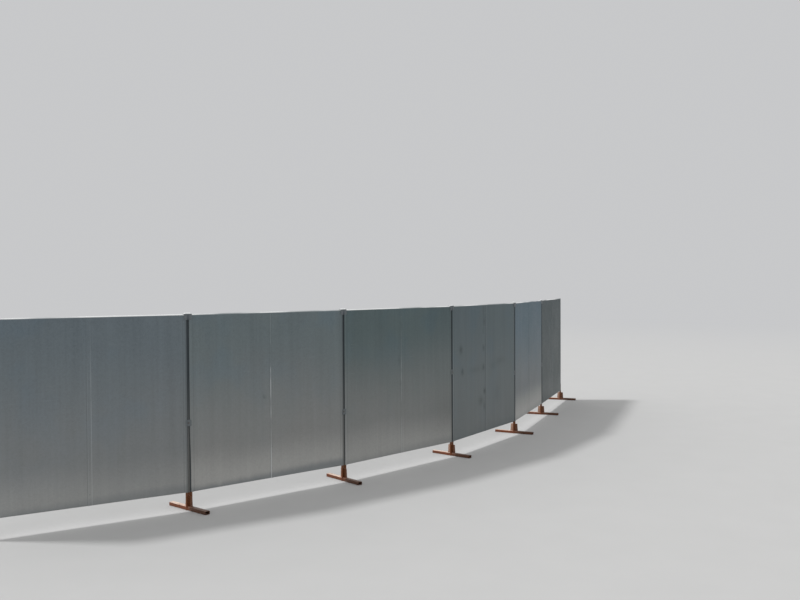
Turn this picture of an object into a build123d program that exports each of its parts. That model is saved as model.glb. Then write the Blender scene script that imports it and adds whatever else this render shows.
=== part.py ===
from build123d import *
from math import cos, radians, sin, tan
import os

# Site hoarding: a run of steel bays that stands in steel feet and follows a bend.
# Millimetres. The origin is on the floor under the middle of the first foot.
# +X runs from the first foot to the last, -Y is the road side, +Z is up.

# The run: heading of each bay in degrees from +X, turning left round the bend
bay_headings = [-20.5, -12.5, -6.0, 5.0, 16.5, 17.5]
joint_gap = 22.0
ground_clearance = 200.0

# One bay, over its sheets
panel_width = 2100.0
panel_height = 2000.0

# Sides that stand for a full turn of the tubes, rolled edges, crowns and bolts, repeated all along the run
round_sides = 12

# Frame: round posts and rails, and a square upright
post_radius = 13.5
post_wall = 2.0
post_cap = 3.0
rail_radius = 12.0
rail_setback = 0.5
middle_rail_height = 1000.0
mullion_size = 20.0
mullion_setback = 0.5

# Sheets, rolled round the frame and lapped in the middle of the bay
sheet_thickness = 0.8
sheet_fit = 0.3
corner_strip = 12.0
lap_width = 32.0
lap_fit = 0.1
joggle_width = 4.0

# Flat strip that closes the gap of a joint
joint_strip_thickness = 3.0
joint_strip_fit = 0.3

# Saddle over the two post tops of a joint
saddle_length = 90.0
saddle_thickness = 4.0
saddle_skirt = 62.0
saddle_fit = 0.3
saddle_corner = 8.0

# Pressed clamp in the gap: heights above the floor, one for each joint
clamp_heights = [980.0, 890.0, 1230.0, 1020.0, 960.0]
clamp_height = 72.0
clamp_thickness = 4.0
clamp_fit = 0.3
clamp_grip_angle = 55.0
clamp_flange = 6.0
clamp_corner = 5.0
bolt_radius = 5.0
bolt_hole_fit = 0.5
bolt_head_radius = 9.0
bolt_head_height = 6.5
bolt_tail = 6.0
nut_height = 8.0

# Foot: one at each joint, whose bar may stand askew, given in degrees to the left
bar_turns = [0.0, 16.0, 0.0, 0.0, 0.0, 0.0, 0.0]
bar_length = 660.0
bar_width = 60.0
bar_height = 40.0
bar_wall = 3.0
bar_corner = 5.0
spigot_radius = 10.0
spigot_insertion = 150.0
web_height = 135.0
web_thickness = 6.0
gusset_height = 120.0
gusset_thickness = 6.0
gusset_top_width = 112.0
gusset_foot_width = 130.0

# The sheets' rolled edges set the place of the frame inside them
roll_inner = post_radius + sheet_fit
roll_outer = roll_inner + sheet_thickness
rail_depth = -(post_radius - rail_setback - rail_radius)
rail_roll_inner = roll_inner + rail_depth
rail_roll_outer = rail_roll_inner + sheet_thickness
top_rail_height = panel_height - rail_roll_outer
bottom_rail_height = rail_roll_outer
mullion_depth = -(post_radius - rail_setback - mullion_setback - mullion_size / 2)
strip_end = 2 * roll_outer + corner_strip
post_half_spacing = joint_gap / 2 + roll_outer
bay_pitch = panel_width + joint_gap

# A clamp's wings hug the rolled edges and its web lies in the gap between them
clamp_grip = roll_outer + clamp_fit
clamp_web_angle = radians(90 - clamp_grip_angle)
clamp_web_depth = clamp_grip * sin(clamp_web_angle) + clamp_thickness

# Joints of the run on the floor, worked out bay by bay
joints = [(0.0, 0.0)]
for heading in bay_headings:
    last_x, last_y = joints[-1]
    joints.append((last_x + bay_pitch * cos(radians(heading)), last_y + bay_pitch * sin(radians(heading))))


def bay_plane(number):
    """Plane at the lower left corner of a bay: X along the bay, Y to its back, Z up."""
    along = radians(bay_headings[number])
    x, y = joints[number]
    corner = (x + joint_gap / 2 * cos(along), y + joint_gap / 2 * sin(along), ground_clearance)
    return Plane(origin=corner, x_dir=(cos(along), sin(along), 0), z_dir=(0, 0, 1))


def joint_plane(number):
    """Plane on the floor midway between the two posts of a joint: X along the run, Y to the back."""
    before = bay_headings[max(number - 1, 0)]
    after = bay_headings[min(number, len(bay_headings) - 1)]
    along = radians((before + after) / 2)
    inward = post_half_spacing * sin(radians(after - before) / 2)
    x, y = joints[number]
    middle = (x - inward * sin(along), y + inward * cos(along), 0)
    return Plane(origin=middle, x_dir=(cos(along), sin(along), 0), z_dir=(0, 0, 1))


def cross_plane(base, along=0.0, height=0.0):
    """Upright plane across the run: its X to the back, its Y up, its normal along the run."""
    return Plane(origin=base.from_local_coords((along, 0, height)), x_dir=base.y_dir, z_dir=base.x_dir)


def front_plane(base, depth=0.0, height=0.0):
    """Upright plane along the run: its X along it, its Y up, its normal to the road."""
    return Plane(origin=base.from_local_coords((0, depth, height)), x_dir=base.x_dir, z_dir=-base.y_dir)


def build_frame(base):
    """Welded frame of a bay: two posts, three rails and the upright behind the lap."""
    post_places = [(roll_outer, 0), (panel_width - roll_outer, 0)]
    rail_heights = [bottom_rail_height, middle_rail_height, top_rail_height]
    with BuildPart() as frame:
        with BuildSketch(base):
            with Locations(*post_places):
                RegularPolygon(post_radius, round_sides)
        extrude(amount=panel_height)
        with BuildSketch(cross_plane(base, roll_outer)):
            with Locations(*[(rail_depth, height) for height in rail_heights]):
                RegularPolygon(rail_radius, round_sides)
        extrude(amount=panel_width - 2 * roll_outer)
        with BuildSketch(base.offset(bottom_rail_height)):
            with Locations((panel_width / 2, mullion_depth)):
                Rectangle(mullion_size, mullion_size)
        extrude(amount=top_rail_height - bottom_rail_height)
        # The posts are open below for the spigots and capped on top
        with BuildSketch(base):
            with Locations(*post_places):
                RegularPolygon(post_radius - post_wall, round_sides)
        extrude(amount=panel_height - post_cap, mode=Mode.SUBTRACT)
    return frame


def half_turn(x, y, radius, start, turn):
    """Points of a half turn about (x, y), from the start angle. Turn is 1 to the left, -1 to the right."""
    angles = [radians(start + turn * 360 / round_sides * step) for step in range(round_sides // 2 + 1)]
    return [(x + radius * cos(angle), y + radius * sin(angle)) for angle in angles]


def side_roll(base, post_x, outward):
    """Plan of the strip of sheet rolled round a post: outward is -1 at the left, 1 at the right."""
    strip_x = post_x - outward * (strip_end - roll_outer)
    outer = half_turn(post_x, 0, roll_outer, 90, -outward) + [(strip_x, -roll_outer)]
    inner = half_turn(post_x, 0, roll_inner, 90, -outward) + [(strip_x, -roll_inner)]
    with BuildSketch(base) as plan:
        with BuildLine():
            Polyline(*outer, *reversed(inner), close=True)
        make_face()
    return plan.sketch


def edge_rolls(plane, stand_off, thickness):
    """Section of the sheet whose top and bottom edges are rolled round the rails."""
    inner_radius = rail_roll_inner + stand_off
    outlines = []
    for radius in (inner_radius, inner_radius + thickness):
        top = half_turn(rail_depth, top_rail_height, radius, 0, 1)
        bottom = half_turn(rail_depth, bottom_rail_height, radius, 180, 1)
        outlines.append(top + bottom)
    inner, outer = outlines
    with BuildSketch(plane) as section:
        with BuildLine():
            Polyline(*outer, *reversed(inner), close=True)
        make_face()
    return section.sketch


def build_left_sheet(base):
    """Left sheet of a bay, whose free edge lies behind the lap."""
    lap_end = panel_width / 2 + lap_width / 2
    with BuildPart() as sheet:
        extrude(side_roll(base, roll_outer, -1), amount=panel_height)
        extrude(edge_rolls(cross_plane(base, strip_end), 0, sheet_thickness), amount=lap_end - strip_end)
    return sheet


def build_right_sheet(base):
    """Right sheet of a bay, joggled forward so that its free edge laps over the left sheet."""
    lap_start = panel_width / 2 - lap_width / 2
    joggle_start = panel_width / 2 + lap_width / 2 + joggle_width
    joggle_end = joggle_start + joggle_width
    field_length = panel_width - strip_end - joggle_end
    lap_length = joggle_start - lap_start
    step = sheet_thickness + lap_fit
    with BuildPart() as sheet:
        extrude(side_roll(base, panel_width - roll_outer, 1), amount=panel_height)
        extrude(edge_rolls(cross_plane(base, joggle_end), 0, sheet_thickness), amount=field_length)
        extrude(edge_rolls(cross_plane(base, joggle_start), 0, sheet_thickness + step), amount=joggle_width)
        extrude(edge_rolls(cross_plane(base, lap_start), step, sheet_thickness), amount=lap_length)
    return sheet


def build_strip(base, clamp_middle):
    """Flat strip in the gap: it stands on the foot's web, with a hole for the clamp's bolt."""
    strip_bottom = bar_height + web_height
    with BuildPart() as strip:
        with BuildSketch(base.offset(strip_bottom)):
            Rectangle(joint_gap - 2 * joint_strip_fit, joint_strip_thickness)
        extrude(amount=ground_clearance + panel_height - strip_bottom)
        with BuildSketch(front_plane(base, joint_strip_thickness / 2, clamp_middle)):
            RegularPolygon(bolt_radius + bolt_hole_fit, round_sides)
        extrude(amount=joint_strip_thickness, mode=Mode.SUBTRACT)
    return strip


def build_saddle(base):
    """Strap folded over both post tops, with a round crown and a skirt on each side."""
    inner_radius = roll_outer + saddle_fit
    # The crown's first flat comes down on the sheets' upper corners
    rest = saddle_fit * 2 / 3 / tan(radians(180 / round_sides))
    spring = ground_clearance + panel_height - rest
    outlines = []
    for radius in (inner_radius, inner_radius + saddle_thickness):
        crown = half_turn(0, 0, radius, 0, 1)
        outlines.append([(radius, -saddle_skirt)] + crown + [(-radius, -saddle_skirt)])
    inner, outer = outlines
    with BuildPart() as saddle:
        with BuildSketch(cross_plane(base, -saddle_length / 2, spring)):
            with BuildLine():
                Polyline(*outer, *reversed(inner), close=True)
            make_face()
        extrude(amount=saddle_length)
        skirt_bottoms = saddle.faces().group_by(Axis.Z)[0]
        chamfer(skirt_bottoms.edges().filter_by(Axis(base.origin, base.y_dir)), length=saddle_corner)
    return saddle


def clamp_plan(base, height, side):
    """Plan of a pressed clamp half: a web in the gap and a wing on each post. Side is -1 at the front."""
    web_x = post_half_spacing - clamp_grip * cos(clamp_web_angle)
    web_y = side * clamp_grip * sin(clamp_web_angle)
    wing_y = side * clamp_grip
    flange_x = post_half_spacing + clamp_flange
    with BuildSketch(base.offset(height - clamp_height / 2)) as plan:
        with BuildLine():
            Line((-flange_x, wing_y), (-post_half_spacing, wing_y))
            CenterArc((-post_half_spacing, 0), clamp_grip, side * 90, -side * clamp_grip_angle)
            Line((-web_x, web_y), (web_x, web_y))
            CenterArc((post_half_spacing, 0), clamp_grip, side * 90, side * clamp_grip_angle)
            Line((post_half_spacing, wing_y), (flange_x, wing_y))
            offset(amount=clamp_thickness, side=Side.RIGHT if side < 0 else Side.LEFT)
        make_face()
    return plan.sketch


def build_clamp_front(base, height):
    """Front half of a clamp, with the hexagon bolt that runs through the gap."""
    bolt_length = 2 * clamp_web_depth + nut_height + bolt_tail
    with BuildPart() as clamp:
        extrude(clamp_plan(base, height, -1), amount=clamp_height)
        chamfer(clamp.edges().filter_by(Axis(base.origin, base.y_dir)), length=clamp_corner)
        with BuildSketch(front_plane(base, -clamp_web_depth, height)):
            RegularPolygon(bolt_head_radius, 6)
        extrude(amount=bolt_head_height)
        with BuildSketch(front_plane(base, -clamp_web_depth, height)):
            RegularPolygon(bolt_radius, round_sides)
        extrude(amount=-bolt_length)
    return clamp


def build_clamp_back(base, height):
    """Back half of a clamp, with its bolt hole and the nut welded to it."""
    with BuildPart() as clamp:
        extrude(clamp_plan(base, height, 1), amount=clamp_height)
        chamfer(clamp.edges().filter_by(Axis(base.origin, base.y_dir)), length=clamp_corner)
        with BuildSketch(front_plane(base, clamp_web_depth, height)):
            RegularPolygon(bolt_head_radius, 6)
        extrude(amount=-nut_height)
        with BuildSketch(front_plane(base, 0, height)):
            RegularPolygon(bolt_radius + bolt_hole_fit, round_sides)
        extrude(amount=-(clamp_web_depth + nut_height), mode=Mode.SUBTRACT)
    return clamp


def build_foot(base, bar_turn):
    """Welded foot: hollow ground bar across the run, two stubs with spigots, their web and a gusset."""
    stub_places = [(-post_half_spacing, 0), (post_half_spacing, 0)]
    bar_base = base.rotated((0, 0, bar_turn))
    with BuildPart() as foot:
        with BuildSketch(front_plane(bar_base, bar_length / 2)) as profile:
            with Locations((0, bar_height / 2)):
                Rectangle(bar_width, bar_height)
            chamfer(profile.vertices(), length=bar_corner)
            offset(amount=-bar_wall, kind=Kind.INTERSECTION, mode=Mode.SUBTRACT)
        extrude(amount=bar_length)
        # Stubs let into the bar's sides under the two posts, with a thinner spigot up inside each post
        with BuildSketch(base):
            with Locations(*stub_places):
                RegularPolygon(post_radius, round_sides)
        extrude(amount=ground_clearance)
        with BuildSketch(base.offset(ground_clearance)):
            with Locations(*stub_places):
                Circle(spigot_radius)
        extrude(amount=spigot_insertion)
        # Web between the stubs, crossed by the gusset that stands along the bar
        with BuildSketch(front_plane(base, web_thickness / 2, bar_height)):
            Rectangle(2 * post_half_spacing, web_height, align=(Align.CENTER, Align.MIN))
        extrude(amount=web_thickness)
        with BuildSketch(cross_plane(bar_base, -gusset_thickness / 2, bar_height)):
            with BuildLine():
                Polyline(
                    (-gusset_foot_width / 2, 0),
                    (gusset_foot_width / 2, 0),
                    (gusset_top_width / 2, gusset_height),
                    (-gusset_top_width / 2, gusset_height),
                    close=True,
                )
            make_face()
        extrude(amount=gusset_thickness)
    return foot


# Write every piece as its own part file
os.makedirs("parts", exist_ok=True)
pieces = {}
for number in range(len(bay_headings)):
    bay = bay_plane(number)
    pieces[f"bay_{number + 1}_frame"] = build_frame(bay)
    pieces[f"bay_{number + 1}_left_sheet"] = build_left_sheet(bay)
    pieces[f"bay_{number + 1}_right_sheet"] = build_right_sheet(bay)
for number, bar_turn in enumerate(bar_turns):
    pieces[f"foot_{number}"] = build_foot(joint_plane(number), bar_turn)
for number, height in enumerate(clamp_heights, start=1):
    joint = joint_plane(number)
    pieces[f"joint_strip_{number}"] = build_strip(joint, height)
    pieces[f"saddle_{number}"] = build_saddle(joint)
    pieces[f"clamp_{number}_front"] = build_clamp_front(joint, height)
    pieces[f"clamp_{number}_back"] = build_clamp_back(joint, height)
for name, piece in pieces.items():
    piece.part.label = name
    export_step(piece.part, f"parts/{name}.step")
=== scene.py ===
from math import cos, pi, radians, sin, sqrt

import bmesh
import bpy
import numpy as np
from mathutils import Matrix, Vector


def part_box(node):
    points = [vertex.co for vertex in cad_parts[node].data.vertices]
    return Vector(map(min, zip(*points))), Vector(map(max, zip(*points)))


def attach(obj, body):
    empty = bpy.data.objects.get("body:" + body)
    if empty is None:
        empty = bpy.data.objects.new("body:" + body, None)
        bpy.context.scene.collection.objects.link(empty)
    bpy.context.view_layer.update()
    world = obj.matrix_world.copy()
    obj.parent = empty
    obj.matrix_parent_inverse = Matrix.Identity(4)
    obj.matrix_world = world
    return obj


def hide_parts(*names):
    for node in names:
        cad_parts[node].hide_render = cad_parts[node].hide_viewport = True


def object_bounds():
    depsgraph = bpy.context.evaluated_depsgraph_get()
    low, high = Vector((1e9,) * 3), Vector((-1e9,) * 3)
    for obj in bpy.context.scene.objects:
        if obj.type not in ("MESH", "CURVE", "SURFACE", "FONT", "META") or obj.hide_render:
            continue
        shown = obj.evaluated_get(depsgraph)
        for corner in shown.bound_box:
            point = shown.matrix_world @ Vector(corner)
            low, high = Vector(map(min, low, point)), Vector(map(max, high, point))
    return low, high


# A run of galvanised hoarding bays in rusty orange feet. Metres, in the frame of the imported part.

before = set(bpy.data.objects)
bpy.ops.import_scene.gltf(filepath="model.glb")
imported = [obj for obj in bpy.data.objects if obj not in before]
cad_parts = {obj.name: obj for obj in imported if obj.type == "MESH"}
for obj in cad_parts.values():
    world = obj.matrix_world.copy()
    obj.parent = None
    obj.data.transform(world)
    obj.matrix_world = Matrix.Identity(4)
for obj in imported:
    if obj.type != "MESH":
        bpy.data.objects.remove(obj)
cad_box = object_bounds()

# Sizes of the CAD part that its nodes don't show directly
sheet_thickness = 0.0008
sheet_step = 0.0009
corner_strip = 0.012
lap_half = 0.016
joggle = (0.020, 0.024)
post_radius = 0.0135
post_wall = 0.002
rail_radius = 0.012
rail_depth = -0.001
rail_roll = 0.0136
middle_rail_height = 1.0
mullion_half = 0.010
mullion_depth = -0.0025
mullion_corner = 0.0025
plate_fit = 0.0003
saddle_length = 0.090
saddle_skirt = 0.062
saddle_thickness = 0.004
saddle_corner = 0.008
clamp_thickness = 0.004
clamp_grip_angle = 55.0
clamp_flange = 0.006
clamp_corner = 0.005
bolt_radius = 0.005
bolt_head_radius = 0.009
bolt_head_height = 0.0065
nut_height = 0.008
bar_size = (0.060, 0.040)
bar_wall = 0.003
bar_corner = 0.005
spigot_radius = 0.010
web_height = 0.135
gusset_height = 0.120
plate_thickness = 0.006
gusset_top_width = 0.112
gusset_foot_width = 0.130

# Details of the scene's own
upward = np.array([0.0, 0.0, 1.0])
join_distance = 0.00001
sheet_cell = 0.024
field_columns = 41
free_edge_lift = 0.0011
belly_rise = 0.0012
belly_waves = [(0.0022, 1.3, 1.1), (0.0004, 0.35, 1.6)]
side_beads = [(0.054, 0.0055, 0.0008), (0.088, 0.0065, 0.0005)]
rivet_radius = 0.0045
rivet_profile = [(1.0, 0.0), (1.0, 0.18), (0.82, 0.34), (0.5, 0.44), (0.3, 0.4), (0.22, 0.26), (0.0, 0.26)]
seam_rivet_heights = [0.12, 0.38, 0.66, 1.02, 1.32, 1.56, 1.88]
rail_rivet_places = [0.32, 0.95]
weld_radius = 0.0022
weld_flatness = 0.8
saddle_stain = 0.014
saddle_dent = 0.0006
saddle_flat = 0.024

# How weathered and how lit each bay is: colour of the zinc in front, which also paints the shade and
# reflection the bay shows at its angle, dust and painted bounce light towards the bottom, pale splash band
# with painted bounce light, darker band along the lower edge, how strong the painted highlights on the lap's
# free edge and its bend are, and how far the painted shade and grime of the gap reach round the left roll,
# high up and at its foot
bay_weather = [
    ((0.154, 0.186, 0.205), 0.66, 0.38, 0.35, 0.10, 0.22, 0.010, 0.010),
    ((0.156, 0.190, 0.200), 0.92, 0.62, 0.68, 0.85, 0.06, 0.004, 0.015),
    ((0.110, 0.147, 0.152), 0.84, 0.50, 0.25, 0.40, 0.10, 0.005, 0.006),
    ((0.116, 0.150, 0.161), 0.40, 0.06, 0.20, 0.05, 0.10, 0.006, 0.006),
    ((0.086, 0.140, 0.174), 0.70, 0.84, 0.15, 0.20, 0.10, 0.010, 0.010),
    ((0.038, 0.062, 0.066), 0.16, 0.10, 0.20, 0.60, 0.10, 0.026, 0.026),
]

# Colours that several coats share
# Dust and splash colours, which also paint the light bounced up from the floor
dust_and_bounce_colour = (0.274, 0.274, 0.266)
splash_and_bounce_colour = (0.480, 0.478, 0.462)
# Painted shade and painted highlight on the sheets
painted_shade_zinc = (0.085, 0.098, 0.100)
painted_highlight_zinc = (0.600, 0.625, 0.640)

# Dark handling marks: bay, place along it, height, half width, half height, strength
smudges = [
    (2, 0.954, 0.986, 0.013, 0.018, 0.8),
    (3, 1.000, 1.280, 0.020, 0.060, 0.3),
    (3, 1.030, 0.960, 0.012, 0.040, 0.45),
    (3, 2.000, 0.420, 0.450, 0.380, 0.22),
    (4, 0.248, 1.337, 0.046, 0.060, 0.75),
    (4, 0.292, 1.002, 0.036, 0.050, 0.7),
    (4, 0.975, 1.905, 0.030, 0.100, 0.45),
    (4, 0.992, 1.730, 0.036, 0.060, 0.55),
    (4, 0.968, 1.590, 0.030, 0.050, 0.3),
    (4, 0.972, 1.318, 0.036, 0.045, 0.6),
    (4, 0.968, 1.018, 0.034, 0.050, 0.65),
    (4, 1.000, 0.640, 0.034, 0.040, 0.8),
    (4, 0.880, 0.500, 0.070, 0.060, 0.42),
    (4, 0.995, 0.400, 0.030, 0.060, 0.4),
    (4, 1.560, 1.080, 0.180, 0.060, 0.22),
    (4, 1.300, 1.010, 0.140, 0.060, 0.15),
    (4, 0.700, 1.000, 0.200, 0.050, 0.2),
    (4, 1.420, 0.560, 0.090, 0.160, 0.14),
    (5, 1.025, 0.800, 0.012, 0.080, 0.4),
]


# Where things are

def node_points(node):
    """Coordinates of a CAD node's vertices."""
    return np.array([vertex.co[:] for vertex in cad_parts[node].data.vertices])


def main_direction(points):
    """Direction in plan along which points spread most, taken towards the right."""
    along = np.linalg.svd(points - points.mean(axis=0), full_matrices=False)[2][0]
    return along * np.sign(along[0])


class Place:
    """Axes of a bay or joint: along the run, to its back, and up from its lower edge."""

    def set_axes(self, along, corner, bottom):
        self.along = along
        self.back = np.array([-along[1], along[0]])
        self.corner = corner
        self.bottom = bottom

    def points(self, u, v, z):
        """Points in the row frame from places along, to the back and up."""
        u, v, z = np.broadcast_arrays(u, v, z)
        plan = self.corner + u[..., None] * self.along + v[..., None] * self.back
        return np.concatenate([plan, (z + self.bottom)[..., None]], axis=-1)


class Bay(Place):
    """One bay, measured on its CAD nodes. Depth 0 is the middle of its posts."""

    def __init__(self, number):
        self.number = number
        pieces = [node_points(f"bay_{number}_{name}") for name in ("frame", "left_sheet", "right_sheet")]
        posts, left, right = [points[:, :2] for points in pieces]
        along = main_direction(posts)
        back = np.array([-along[1], along[0]])
        depths = posts @ back
        start = (left @ along).min()
        middle = (depths.min() + depths.max()) / 2
        low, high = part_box(f"bay_{number}_frame")
        self.set_axes(along, along * start + back * middle, low.z)
        self.width = (right @ along).max() - start
        self.height = high.z - low.z
        self.roll = (left @ back).max() - middle
        self.strip_end = 2 * self.roll + corner_strip
        self.post_places = [self.roll, self.width - self.roll]
        self.rail_heights = [rail_roll, middle_rail_height, self.height - rail_roll]


class Joint(Place):
    """One joint, measured on its foot. Its posts stand at -spread and spread along it."""

    def __init__(self, number, bay):
        self.number = number
        points = node_points(f"foot_{number}")
        foot, heights = points[:, :2], points[:, 2]
        self.seat = bay.bottom
        self.spigot_top = heights.max()
        spigots = foot[heights > self.seat + 0.05]
        centre = spigots.mean(axis=0)
        along = main_direction(spigots)
        places = (spigots - centre) @ along
        middle = (places.min() + places.max()) / 2
        self.set_axes(along, centre + along * middle, 0.0)
        self.spread = (places.max() + places[places > 0].min()) / 2 - middle
        self.top = self.seat + bay.height
        self.roll = bay.roll

        # The ground bar may stand askew: its own axes come from its two ends
        offsets = foot - self.corner
        rear = offsets[offsets @ self.back > 0.2].mean(axis=0)
        fore = offsets[offsets @ self.back < -0.2].mean(axis=0)
        self.bar = Place()
        self.bar_length = np.linalg.norm(rear - fore)
        forward = (rear - fore) / self.bar_length
        self.bar.set_axes(np.array([forward[1], -forward[0]]), self.corner, 0.0)


# Building meshes

def faces_of_grid(rows, columns, closed, first):
    """Quads of a grid of points numbered row by row, joined round its columns if closed."""
    faces = []
    for row in range(rows - 1):
        for column in range(columns if closed else columns - 1):
            right = (column + 1) % columns
            a = first + row * columns
            faces.append((a + column, a + right, a + columns + right, a + columns + column))
    return faces


class Shape:
    """Vertices and faces of a piece while it is put together."""

    def __init__(self):
        self.points = []
        self.faces = []
        self.values = {}

    def count(self):
        return sum(len(block) for block in self.points)

    def grid(self, points, closed=False, flip=False, **values):
        """Adds a grid of points, with a number at each vertex for every named value."""
        rows, columns = points.shape[:2]
        faces = faces_of_grid(rows, columns, closed, self.count())
        self.faces += [face[::-1] for face in faces] if flip else faces
        self.points.append(points.reshape(-1, 3))
        for key, numbers in values.items():
            block = np.broadcast_to(numbers, points.shape[:2]).ravel()
            self.values.setdefault(key, []).append(block)

    def note_depth(self, joint):
        """Notes at every vertex how far back along the foot's bar it lies."""
        self.values["rear"] = [(np.concatenate(self.points)[:, :2] - joint.corner) @ joint.bar.back]

    def fan(self, ring, flip=False):
        """Adds one face over a closed ring of points."""
        face = tuple(range(self.count(), self.count() + len(ring)))
        self.faces.append(face[::-1] if flip else face)
        self.points.append(np.asarray(ring))


def add_modifiers(piece, thickness, rounding, round_from):
    """Gives a surface its thickness, behind its outer side, and rounds edges sharper than the angle."""
    if thickness:
        solid = piece.modifiers.new("sheet thickness", "SOLIDIFY")
        solid.thickness = thickness
        solid.offset = -1
        solid.use_even_offset = True
    if rounding:
        bevel = piece.modifiers.new("rounded edges", "BEVEL")
        bevel.width = rounding
        bevel.segments = 2
        bevel.limit_method = "ANGLE"
        bevel.angle_limit = radians(round_from)


def add_object(name, data):
    """Puts a new object in the scene."""
    made = bpy.data.objects.new(name, data)
    bpy.context.scene.collection.objects.link(made)
    return made


def add_piece(
    name, shape, material, stands_for=(), smooth_angle=35, thickness=0.0, rounding=0.0, round_from=40
):
    """Makes the piece, welds its blocks, bakes its modifiers and lets it ride on the part."""
    mesh = bpy.data.meshes.new(name)
    mesh.from_pydata(np.concatenate(shape.points).tolist(), [], shape.faces)
    for key, blocks in shape.values.items():
        attribute = mesh.attributes.new(key, "FLOAT", "POINT")
        attribute.data.foreach_set("value", np.concatenate(blocks).astype(np.float32))
    piece = add_object(name, mesh)
    mesh.materials.append(material)
    work = bmesh.new()
    work.from_mesh(mesh)
    bmesh.ops.remove_doubles(work, verts=work.verts, dist=join_distance)
    work.to_mesh(mesh)
    work.free()
    add_modifiers(piece, thickness, rounding, round_from)
    if piece.modifiers:
        evaluated = piece.evaluated_get(bpy.context.evaluated_depsgraph_get())
        baked = bpy.data.meshes.new_from_object(evaluated)
        baked.name = name
        piece.modifiers.clear()
        piece.data = baked
    piece.data.shade_smooth()
    piece.data.set_sharp_from_angle(angle=radians(smooth_angle))
    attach(piece, "root")
    if stands_for:
        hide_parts(*stands_for)


def turn(x, y, radius, start, end, steps):
    """Points of an arc about (x, y), angles in degrees."""
    angles = np.radians(np.linspace(start, end, steps + 1))
    return np.stack([x + radius * np.cos(angles), y + radius * np.sin(angles)], axis=-1)


def ripples(x, y, seed, length_x, length_y, count=9):
    """Smooth random height between about -1 and 1, the same each run."""
    random = np.random.default_rng(seed)
    total = 0.0
    for _ in range(count):
        turns_x, turns_y = random.normal(size=2)
        phase = random.uniform(0, 2 * pi)
        total = total + np.sin(2 * pi * (x / length_x * turns_x + y / length_y * turns_y) + phase)
    return total / sqrt(count)


def bump(distance, width):
    """Smooth hump of height 1 and about the given half width."""
    return np.exp(-((distance / width) ** 2))


def lengths_along(path):
    """Distance along a path from its start to each of its points."""
    return np.concatenate([[0], np.cumsum(np.linalg.norm(np.diff(path, axis=0), axis=1))])


def full_turn(sides):
    """Angles of a closed ring's points."""
    return np.linspace(0, 2 * pi, sides, endpoint=False)


def weld_bead(shape, path, outward, radius, seed):
    """Adds a rippled weld bead along a path, lying in the corner whose open side is outward."""
    ahead = np.gradient(path, axis=0)
    ahead /= np.linalg.norm(ahead, axis=1, keepdims=True)
    side = np.cross(ahead, outward)
    side /= np.linalg.norm(side, axis=1, keepdims=True)
    lift = np.cross(side, ahead)
    length = lengths_along(path)
    swell = 1 + 0.16 * np.sin(length / radius * 2.6) + 0.10 * ripples(length, 0.0, seed, 0.02, 1.0)
    angles = full_turn(8)[None, :, None]
    ring = np.cos(angles) * side[:, None, :] + weld_flatness * np.sin(angles) * lift[:, None, :]
    shape.grid(path[:, None, :] + ring * (radius * swell)[:, None, None], closed=True)


def add_upright(shape, place, u, stations):
    """Adds a form turned about an upright line: stations of (radius, height)."""
    angles = full_turn(32)
    rings = [place.points(u + r * np.cos(angles), r * np.sin(angles), z) for r, z in stations]
    shape.grid(np.stack(rings), closed=True)


def add_crosswise(shape, place, u, z, stations, sides, twist=0.0):
    """Adds a form turned about a level line across the run: stations of (depth, radius)."""
    angles = full_turn(sides) + twist
    rings = [place.points(u + r * np.cos(angles), v, z + r * np.sin(angles)) for v, r in stations]
    shape.grid(np.stack(rings), closed=True)


# Sheets

def sheet_belly(bay, u, z, seed):
    """How far a sheet stands out of its plane: bellies between the frame's members, and side beads."""
    half = bay.width / 2
    across = np.clip((np.abs(u - half) - 0.03) / (half - 0.15), 0, 1)
    field = np.where(z < middle_rail_height, z, z - middle_rail_height) / middle_rail_height
    free = np.sin(pi * across) * np.sin(pi * np.clip(field, 0, 1))
    wave = belly_rise
    for index, (height, length, rise) in enumerate(belly_waves):
        wave = wave + height * ripples(u, z, seed + index, length, rise)
    from_side = np.minimum(u, bay.width - u)
    between_rails = np.clip(np.minimum(z, bay.height - z) / 0.04 - 0.5, 0, 1)
    beads = sum(height * bump(from_side - place, width) for place, width, height in side_beads)
    return free * wave + beads * between_rails


def marks_on(bay, u, z):
    """Strength of the dark handling marks at places on a bay."""
    total = np.zeros(np.broadcast(u, z).shape)
    for number, place, height, half_width, half_height, strength in smudges:
        if number == bay.number:
            distance = np.hypot((u - place) / half_width, (z - height) / half_height)
            total += strength * bump(distance, 1.0)
    return total


def sheet_values(bay, u, z):
    """What the finish needs to know at places on a bay."""
    from_side = np.minimum(u, bay.width - u)
    return {"seam": u - bay.width / 2, "edge": from_side, "marks": marks_on(bay, u, z)}


def edge_path(bay, stand_off, heights):
    """Section of a sheet over the top, down the front and under, and which of its points are in front."""
    radius = rail_roll + stand_off
    top = turn(rail_depth, bay.height - rail_roll, radius, 0, 180, 12)
    bottom = turn(rail_depth, rail_roll, radius, 180, 360, 12)
    front = np.stack([np.full(len(heights), rail_depth - radius), heights], axis=-1)
    is_front = np.concatenate([np.zeros(len(top)), np.ones(len(front)), np.zeros(len(bottom))])
    return np.vstack([top, front, bottom]), is_front


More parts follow.
